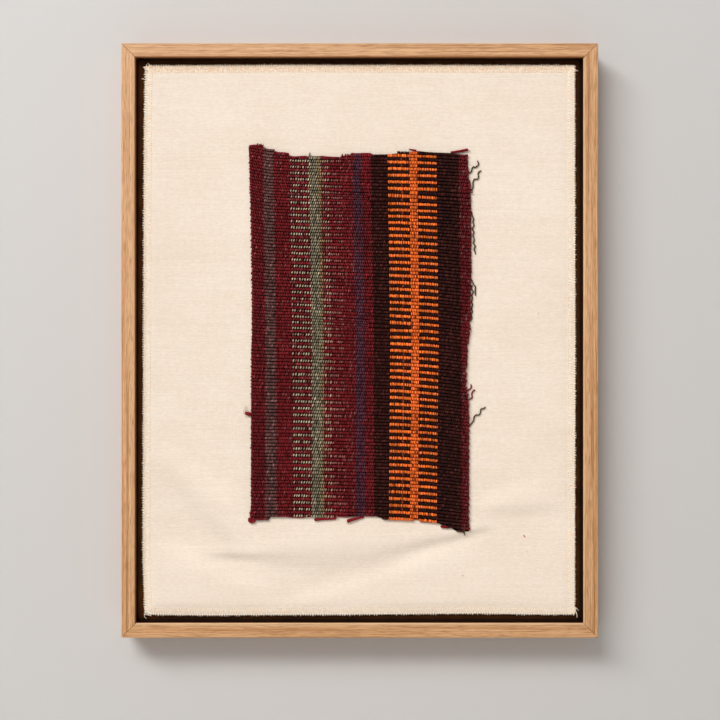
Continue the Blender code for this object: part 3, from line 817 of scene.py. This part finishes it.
# Ribs from the top down. Columns: row, whether the light ends lie on top, spacing to the next
# rib in rows, left end, right end
ribs = []
for row in range(ROWS[0][0], ROWS[-1][0]):
    if row in WEDGED_AFTER:
        ribs += [(row, True, 0.5, WEDGE_END, 200.0), (row + 0.5, False, 0.5, WEDGE_END, 200.0)]
        for part in range(4):
            ribs.append((row + part / 4, part % 2 == 0, 0.25, -5.0, WEDGE_END))
    else:
        ribs += [(row, True, 0.5, -5.0, 200.0), (row + 0.5, False, 0.5, -5.0, 200.0)]

float_random = random.Random(11)
float_rows = []
for row, light, spacing, first, last in ribs:
    places, next_places = row_places(row), row_places(row + spacing)
    sides = stripe_sides(places[3])
    for stripe, left, right in zip(STRIPES, sides, sides[1:]):
        count, dye = (stripe[3], stripe[5]) if light else (stripe[4], stripe[6])
        stray, share, width, tall, tilt = stripe[7:]
        width = width if light or stripe[3] == stripe[4] else DARK_WIDTH
        tall = tall if light or stripe[5] == stripe[6] else DARK_HEIGHT
        pitch = (right - left) / count
        for number in range(count):
            across = left + (number + (LIGHT_PLACE if light else DARK_PLACE)) * pitch
            across += float_random.gauss(0, UNEVEN) * pitch
            if not first < across < last:
                continue
            down = float(np.interp(across, ROW_PLACES, places))
            gap = float(np.interp(across, ROW_PLACES, next_places)) - down
            down += float_random.gauss(0, UNEVEN)
            colour = stray if float_random.random() < share else dye
            if colour == "brown black" and (stripe[0], number) == FADED_END:
                colour = float_random.choice(("rust", "rust", "brown black"))
            value = max(float_random.gauss(BRIGHTNESS, BRIGHTNESS_SPREAD), DULLEST)
            lean = float_random.gauss(tilt, LEAN_SPREAD)
            length = gap * MM * tall / 2 * float_random.uniform(SHORTEST, LONGEST)
            if on_slab(across, down):
                float_rows.append((across, down, pitch * width, length, lean, value,
                                   *linear(DYES[colour])[:3]))

# Selvedges: where a weft turns round the last ends, a bump stands out at each rib.
# Columns: a place outside the fragment, how far in to look for it, a place inside, the way
# in, dye
BUMP_SINK, BUMP_WIDTH, BUMP_HEIGHT, BUMP_LEAN = (0.5, 1.2), (1.6, 2.4), (1.3, 1.7), 0.45
SELVEDGES = ((-4.0, 18.0, 2.0, 1, "wine"), (202.0, 178.0, 196.0, -1, "dark red"))
for row, light, spacing, first, last in ribs:
    places = row_places(row)
    for across, limit, inside, side, dye in SELVEDGES:
        if not first < inside < last:
            continue
        down = (places[0] if side > 0 else places[-1]) + float_random.gauss(0, 0.25)
        while side * across < side * limit and not on_slab(across, down, 0.0):
            across += side * 0.2
        if side * across >= side * limit:
            continue
        across += side * float_random.uniform(*BUMP_SINK)
        value = float_random.gauss(0.95, 0.15)
        float_rows.append((across, down, float_random.uniform(*BUMP_WIDTH),
                           float_random.uniform(*BUMP_HEIGHT) * MM, side * BUMP_LEAN, value,
                           *linear(DYES[dye])[:3]))

# Stray floats at the cut edge and knots in the face. Columns: across, down, dye
STRAY_FLOATS = (
    (157.2, 334.6, "orange"), (159.6, 335.2, "crimson"), (161.9, 335.4, "orange"),
    (14.6, 160.3, "pink"), (15.6, 161.2, "rose"), (52.4, 329.6, "rust"),
    (137.0, 155.2, "brown black"), (137.3, 157.4, "brown black"), (52.6, 3.4, "grey green"),
)
for across, down, dye in STRAY_FLOATS:
    float_rows.append((across, down, 1.5, 1.5 * MM, 0.3, 1.15, *linear(DYES[dye])[:3]))
floats = np.array(float_rows)

bpy.ops.object.select_all(action="DESELECT")
bpy.ops.mesh.primitive_uv_sphere_add(segments=FLOAT_SIDES, ring_count=FLOAT_RINGS, radius=1.0)
float_seed = bpy.context.object
seed_points = np.array([(-vert.co.y, vert.co.x, vert.co.z) for vert in float_seed.data.vertices])
fullness = np.hypot(seed_points[:, 0], seed_points[:, 1]) + 1e-6
seed_points[:, :2] *= (fullness ** (FLOAT_FULLNESS - 1))[:, None]
seed_points[:, 0] *= FLOAT_WIDENED
seed_faces = [tuple(face.vertices) for face in float_seed.data.polygons]
bpy.data.objects.remove(float_seed, do_unlink=True)


def float_mesh(name, rows):
    """One mesh of many floats, each a long pebble on a rib, with its dye as an attribute; the
    attribute also holds painted highlight on the float's top and painted shade on its sides and
    ends.
    """
    across, down, pitch, length, lean, value = rows[:, :6].T[:, :, None]
    wide, out, tall = seed_points.T
    along = tall * length
    x = FRAGMENT_LEFT + across * MM + wide * (pitch * MM / 2) + along * np.sin(lean)
    y = np.broadcast_to(FLOAT_CENTRE_Y + out * FLOAT_THICK, x.shape)
    z = FRAGMENT_TOP - down * MM + CENTRE_Z + along * np.cos(lean)
    verts = np.stack([x, y, z], axis=2).reshape(-1, 3)
    starts = range(0, len(verts), len(seed_points))
    faces = [tuple(start + index for index in face) for start in starts for face in seed_faces]
    mesh = bpy.data.meshes.new(name)
    mesh.from_pydata(verts, [], faces)
    tint = mesh.attributes.new("dye", "FLOAT_COLOR", "POINT")
    # Painted highlight on each float's top and painted shade towards its sides and its ends
    painted_shade = SIDE_PAINTED_SHADE * np.abs(wide) ** 1.5 + END_PAINTED_SHADE * tall ** 4
    painted_light_and_shade = PAINTED_HIGHLIGHT_TOP - painted_shade[:, None] * PAINTED_SHADE_DEPTH
    colour = np.ones((len(rows), len(seed_points), 4))
    colour[:, :, :3] = (rows[:, 6:9] * value)[:, None, :] * painted_light_and_shade
    tint.data.foreach_set("color", colour.ravel())
    mesh.shade_smooth()
    return mesh


wool = spun_wool()
for number, start in enumerate(range(0, len(floats), FLOATS_PER_PIECE), start=1):
    name = f"warp_floats_{number}"
    mesh = float_mesh(name, floats[start:start + FLOATS_PER_PIECE])
    add_piece(name, mesh, wool, "kilim_wool")

# Loose yarns
# Crimped ends of two-ply wool, brown-olive, that have slipped out of the ribs at the right edge
# and lie on the cloth. They keep the waves that the wefts pressed into them.
YARN_RADIUS = 0.48 * MM
PLY_RADIUS = 0.44 * MM
PLY_TURN = 3.4 * MM
YARN_STEP = 0.55 * MM
YARN_GRAINS_PER_MM = 0.9
YARN_TIP = 0.45

# Paths in mm from the fragment's corner. Columns: across, down
LOOSE_YARNS = (
    ((196.0, 20.6), (198.9, 19.2), (199.9, 15.9), (201.1, 14.5), (202.5, 15.0), (204.7, 13.6),
     (205.8, 11.8), (204.5, 8.8)),
    ((197.0, 37.4), (199.9, 34.9), (200.8, 31.4), (200.6, 28.6), (202.0, 25.8), (204.5, 25.7),
     (205.7, 23.7), (205.3, 20.6), (206.6, 18.7), (208.4, 18.0)),
    ((198.4, 54.6), (200.3, 58.6), (201.2, 66.2), (200.6, 71.1), (201.2, 74.5), (201.0, 78.7),
     (201.8, 81.4), (201.2, 84.2), (202.6, 87.0), (201.8, 90.5), (203.3, 93.9)),
    ((197.0, 114.4), (199.6, 117.5), (201.2, 121.0), (203.0, 123.4), (202.6, 125.2),
     (202.9, 131.4)),
    ((199.6, 121.8), (199.7, 125.2), (200.5, 127.9), (199.8, 132.1), (199.8, 134.9),
     (199.9, 139.7), (199.6, 146.0), (199.3, 152.9)),
    ((194.6, 217.6), (197.0, 216.4), (198.3, 215.4), (199.2, 213.7), (198.6, 211.6)),
    ((195.0, 226.8), (197.4, 225.3), (199.7, 223.9), (199.9, 222.1), (199.5, 220.2),
     (200.6, 217.9), (202.6, 216.5)),
    ((195.4, 251.8), (197.9, 248.9), (201.1, 244.5), (201.6, 241.5), (203.4, 239.4),
     (205.7, 239.4), (207.3, 237.6), (207.8, 234.3), (209.9, 233.7), (212.4, 232.2)),
)


def smooth_path(points, step):
    """A smooth curve through points, with places about a step apart."""
    points = np.array(points, float)
    padded = np.concatenate([[2 * points[0] - points[1]], points, [2 * points[-1] - points[-2]]])
    curve = []
    for a, b, c, d in zip(padded, padded[1:], padded[2:], padded[3:]):
        parts = max(2, round(float(np.linalg.norm(c - b)) * MM / step))
        for t in np.arange(parts) / parts:
            curve.append(0.5 * (2 * b + (c - a) * t + (2 * a - 5 * b + 4 * c - d) * t ** 2
                                + (3 * b - a - 3 * c + d) * t ** 3))
    curve.append(points[-1])
    return np.array(curve)


def lie_on_cloth(path, height):
    """Points in mm from the fragment's corner, laid at a height over the cloth."""
    x = FRAGMENT_LEFT + path[:, 0] * MM
    z = FRAGMENT_TOP - path[:, 1] * MM
    return np.stack([x, cloth_surface(x, z) - height, z + CENTRE_Z], axis=1)


def plied(path, radius, ply_radius, turn):
    """Two plies that twist round a path."""
    steps = np.concatenate([[0], np.cumsum(np.linalg.norm(np.diff(path, axis=0), axis=1))])
    tangent, side, up = directions(path)
    angle = 2 * math.pi * steps / turn
    reach = radius - ply_radius * 0.45
    return [path + (side * np.cos(turned) + up * np.sin(turned)) * reach
            for turned in (angle[:, None], angle[:, None] + math.pi)]


olive, red_yarn = (spun_thread(*shades, YARN_GRAINS_PER_MM, spread=0.2) for shades in (
    ("olive_two_ply_wool", "#34261a", "#675439"),
    ("dark_red_two_ply_wool", "#5c1018", "#96262f")))
RED_YARNS = (6, 7)
CRIMPED_YARNS = (3, 5)
CRIMP, CRIMP_LENGTH = 0.45, 6.0
for number, points in enumerate(LOOSE_YARNS, start=1):
    flat = smooth_path(points, YARN_STEP)
    if number in CRIMPED_YARNS:
        flat[:, 0] += CRIMP * np.sin(flat[:, 1] * 2 * math.pi / CRIMP_LENGTH)
    path = lie_on_cloth(flat, FIT_GAP + YARN_RADIUS + PLY_RADIUS * 0.6)
    plies = plied(path, YARN_RADIUS, PLY_RADIUS, PLY_TURN)
    taper = PLY_RADIUS * np.clip(np.linspace(8.0, 0.0, len(path)) + YARN_TIP, 0.0, 1.0)
    dye = red_yarn if number in RED_YARNS else olive
    add_tubes(f"loose_yarn_wool_{number}", plies, [taper, taper], dye, "olive_yarn",
              f"loose_yarn_{number}", sides=6)

# Weft ends
# Soft crimson wool, thicker than the warp, that turns at the fragment's cut edges: a few ends
# stick out, and the first and last wefts show as a red line along the cut.
WEFT_STEP = 0.5 * MM
LINE_HEIGHT = 1.5 * MM
LINE_WAVE, LINE_SWELL, LINE_TURN = 0.22, 0.18, 2.1

# Ends that stick out, in mm. Columns: radius at the root, radius at the tip, across and down
WEFT_ENDS = (
    (0.9, 1.25, ((180.5, 1.4), (184.5, 0.9), (189.0, 0.3), (195.9, -1.0))),
    (1.0, 0.35, ((149.2, -0.1), (146.3, -0.8), (142.4, -1.6))),
    (1.9, 1.3, ((-0.6, 238.9), (-3.2, 238.3), (-5.6, 237.4))),
    (1.3, 1.5, ((3.4, 335.0), (0.4, 336.2), (-1.8, 335.2), (-1.4, 333.4), (0.4, 333.8))),
    (0.9, 1.3, ((76.4, 333.3), (66.0, 333.7), (57.2, 334.3))),
    (0.9, 1.7, ((101.9, 331.6), (96.5, 332.9), (91.0, 334.2), (87.0, 335.6))),
    (0.9, 1.35, ((179.4, 341.4), (175.6, 341.0), (171.6, 340.2))),
)

# Wefts that show along the cut edges. Columns: radius, across and down for each point
WEFT_LINES = (
    (0.75, ((-2.0, -4.3), (2.5, -4.9), (6.0, -4.4), (9.6, -5.0))),
    (0.7, ((21.0, 0.9), (24.5, 1.8), (29.0, 2.0), (33.2, 2.7))),
    (0.7, ((34.2, 5.2), (39.3, 5.8), (45.0, 5.3), (50.6, 5.2))),
    (0.7, ((63.0, 5.2), (71.0, 5.9), (79.3, 6.3))),
    (0.6, ((81.6, 5.0), (85.5, 4.9), (89.6, 4.7))),
    (0.7, ((90.4, 2.5), (93.0, 2.7), (95.6, 3.1))),
    (0.6, ((98.6, 2.6), (103.0, 2.5), (107.8, 2.6))),
    (0.65, ((18.0, 331.2), (24.0, 331.0), (30.0, 331.0), (35.0, 331.7))),
    (0.65, ((35.5, 331.8), (41.5, 332.0), (47.2, 332.1))),
    (0.65, ((78.8, 331.1), (83.0, 331.2), (86.9, 331.4))),
    (0.65, ((103.6, 330.6), (107.0, 330.7), (111.4, 330.9))),
)

crimson = spun_thread("soft_crimson_wool", "#5a0a14", "#961a28", YARN_GRAINS_PER_MM, spread=0.2)
for number, (root, tip, points) in enumerate(WEFT_ENDS, start=1):
    flat = smooth_path(points, WEFT_STEP)
    radius = np.linspace(root, tip, len(flat)) * MM
    radius[0] *= 0.8
    radius[-1] *= 0.55
    path = lie_on_cloth(flat, FIT_GAP + radius)
    add_tubes(f"weft_end_wool_{number}", [path], [radius], crimson, "red_yarn",
              f"weft_end_{number}", sides=8)
line_paths, line_radii = [], []
for radius, points in WEFT_LINES:
    flat = smooth_path(points, WEFT_STEP)
    turns = np.arange(len(flat)) * LINE_TURN
    flat[:, 1] += LINE_WAVE * np.sin(turns)
    line_paths.append(lie_on_cloth(flat, LINE_HEIGHT))
    line_radii.append(radius * MM * (1.0 + LINE_SWELL * np.sin(turns + 1.0)))
add_tubes("edge_wefts", line_paths, line_radii, crimson, "kilim_wool", sides=6)

# Stubs and wisps of thread at the cut edges. Columns: finish, radius, height over the cloth,
# across and down in mm
WISPS = (
    (olive, 0.42, 2.2, ((192.8, 339.6), (192.7, 344.0), (192.9, 348.4))),
    (olive, 0.50, 2.2, ((197.4, 37.0), (199.2, 37.9), (200.9, 37.3))),
    (olive, 0.50, 2.2, ((52.4, 5.4), (52.6, 3.6), (52.9, 1.8))),
    (crimson, 0.14, 1.6, ((-3.4, 237.6), (-5.2, 235.4), (-6.0, 233.2), (-5.2, 231.4))),
    (crimson, 0.14, 1.6, ((-3.6, 238.6), (-6.0, 238.9), (-7.4, 237.4))),
    (crimson, 0.14, 1.6, ((-3.0, 238.8), (-5.0, 240.4), (-4.6, 242.0))),
    (crimson, 0.12, 1.6, ((-2.2, 237.0), (-4.4, 234.0), (-3.6, 231.8))),
    (crimson, 0.12, 1.6, ((-4.0, 237.2), (-6.8, 236.2), (-7.0, 234.6))),
    (crimson, 0.14, 1.6, ((88.4, 335.0), (86.4, 336.8), (86.8, 338.4))),
    (crimson, 0.14, 1.6, ((195.4, -1.0), (197.4, -0.4), (198.2, 1.0))),
    (crimson, 0.80, 2.2, ((194.4, 157.2), (196.8, 159.4), (198.4, 162.4))),
)
for number, (finish, radius, height, points) in enumerate(WISPS, start=1):
    path = lie_on_cloth(smooth_path(points, WEFT_STEP), height * MM)
    add_tubes(f"wisp_{number}", [path], [radius * MM], finish,
              "olive_yarn" if finish is olive else "red_yarn")

# Stage and light
# A plain pale wall just behind the frame, a plain floor below, one soft window-like light from
# the upper left and a weak fill. The wall lets light and sight through from behind.
WALL_COLOUR = "#cecbc9"
FLOOR_COLOUR = "#dedad5"
SKY_COLOUR, SKY_STRENGTH = "#f4f2ef", 0.30
FLOOR_DROP = 1.2
STAGE_SIZE = 6.0
WALL_GAP = 0.0015


def wall_emulsion():
    """Matte wall paint, seen from the front alone."""
    material = new_finish("matte_wall_paint", roughness=0.9, colour=WALL_COLOUR)
    tree = material.node_tree
    clear = add_node(tree, "BsdfTransparent")
    back = add_node(tree, "NewGeometry", out="Backfacing")
    mix = add_node(tree, "MixShader", {
        0: back, 1: tree.nodes["Principled BSDF"].outputs[0], 2: clear})
    tree.links.new(mix, tree.nodes["Material Output"].inputs["Surface"])
    return material


floor_paint = new_finish("pale_floor", roughness=0.8, colour=FLOOR_COLOUR)
bpy.ops.object.select_all(action="DESELECT")
for name, paint, place, turn in (
        ("wall", wall_emulsion(), (0, WALL_GAP, CENTRE_Z), math.pi / 2),
        ("floor", floor_paint, (0, 0, CENTRE_Z - FLOOR_DROP), 0.0)):
    bpy.ops.mesh.primitive_plane_add(size=STAGE_SIZE, location=place, rotation=(turn, 0, 0))
    plane = bpy.context.object
    plane.name = name
    plane.data.materials.append(paint)
    plane.visible_shadow = name == "floor"

# Lights. Columns: name, place, width, height, power in watts
LIGHTS = (
    ("key", (-1.5, -2.5, 1.72), 2.5, 0.95, 104.0),
    ("fill", (-0.2, -2.6, 0.7), 2.4, 2.4, 9.0),
    ("behind", (0.8, 2.2, 0.9), 1.6, 1.6, 24.0),
)
for name, place, width, height, power in LIGHTS:
    data = bpy.data.lights.new(name, "AREA")
    data.shape = "RECTANGLE"
    data.size = width
    data.size_y = height
    data.energy = power
    lamp = bpy.data.objects.new(name, data)
    bpy.context.scene.collection.objects.link(lamp)
    lamp.location = place
    aim = Vector((0, 0, CENTRE_Z)) - lamp.location
    lamp.rotation_euler = aim.to_track_quat("-Z", "Y").to_euler()

world = bpy.data.worlds.new("studio")
world.use_nodes = True
sky = world.node_tree.nodes["Background"]
sky.inputs["Color"].default_value = linear(SKY_COLOUR)
sky.inputs["Strength"].default_value = SKY_STRENGTH
bpy.context.scene.world = world
bpy.context.scene.view_settings.view_transform = "Standard"

# Camera
# Square on to the frame, with its middle a little above the middle of the view.
CAMERA_DISTANCE = 1.2
PICTURE_WIDTH = 720
PIXEL_ON_FACE = 0.901 * MM
CAMERA_RIGHT = 0.27 * MM
CAMERA_DROP = 17.6 * MM
SENSOR_WIDTH = 36.0
camera_data = bpy.data.cameras.new("camera")
camera_data.sensor_width = SENSOR_WIDTH
camera_data.lens = SENSOR_WIDTH * CAMERA_DISTANCE / (PICTURE_WIDTH * PIXEL_ON_FACE)
camera = bpy.data.objects.new("camera", camera_data)
bpy.context.scene.collection.objects.link(camera)
camera.location = (CAMERA_RIGHT, FACE_Y - CAMERA_DISTANCE, CENTRE_Z - CAMERA_DROP)
camera.rotation_euler = (math.pi / 2, 0, 0)
bpy.context.scene.camera = camera
